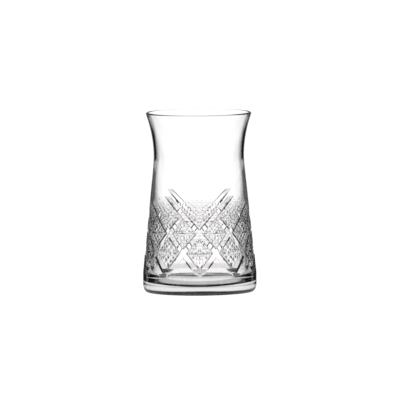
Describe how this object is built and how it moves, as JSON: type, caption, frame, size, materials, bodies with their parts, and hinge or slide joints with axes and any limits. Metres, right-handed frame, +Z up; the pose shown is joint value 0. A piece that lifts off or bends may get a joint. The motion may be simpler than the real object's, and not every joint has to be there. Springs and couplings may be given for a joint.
{
  "type": "turkish tea glass",
  "caption": "Empty Turkish tea glass: waisted clear glass with a flared lip, a wide solid foot and a band of crossing mitre cuts round its skirt.",
  "frame": {"origin": "centre of the foot, on the surface that the glass stands on", "axes": "+Z up along the glass's axis, -Y towards the viewer, where two long cuts cross on the glass's centre line"},
  "size_m": [0.0574, 0.0574, 0.091],
  "materials": {
    "glass": "clear pressed glass, fire-polished and smooth"
  },
  "bodies": {
    "root": {"glass": "glass"}
  },
  "joints": []
}
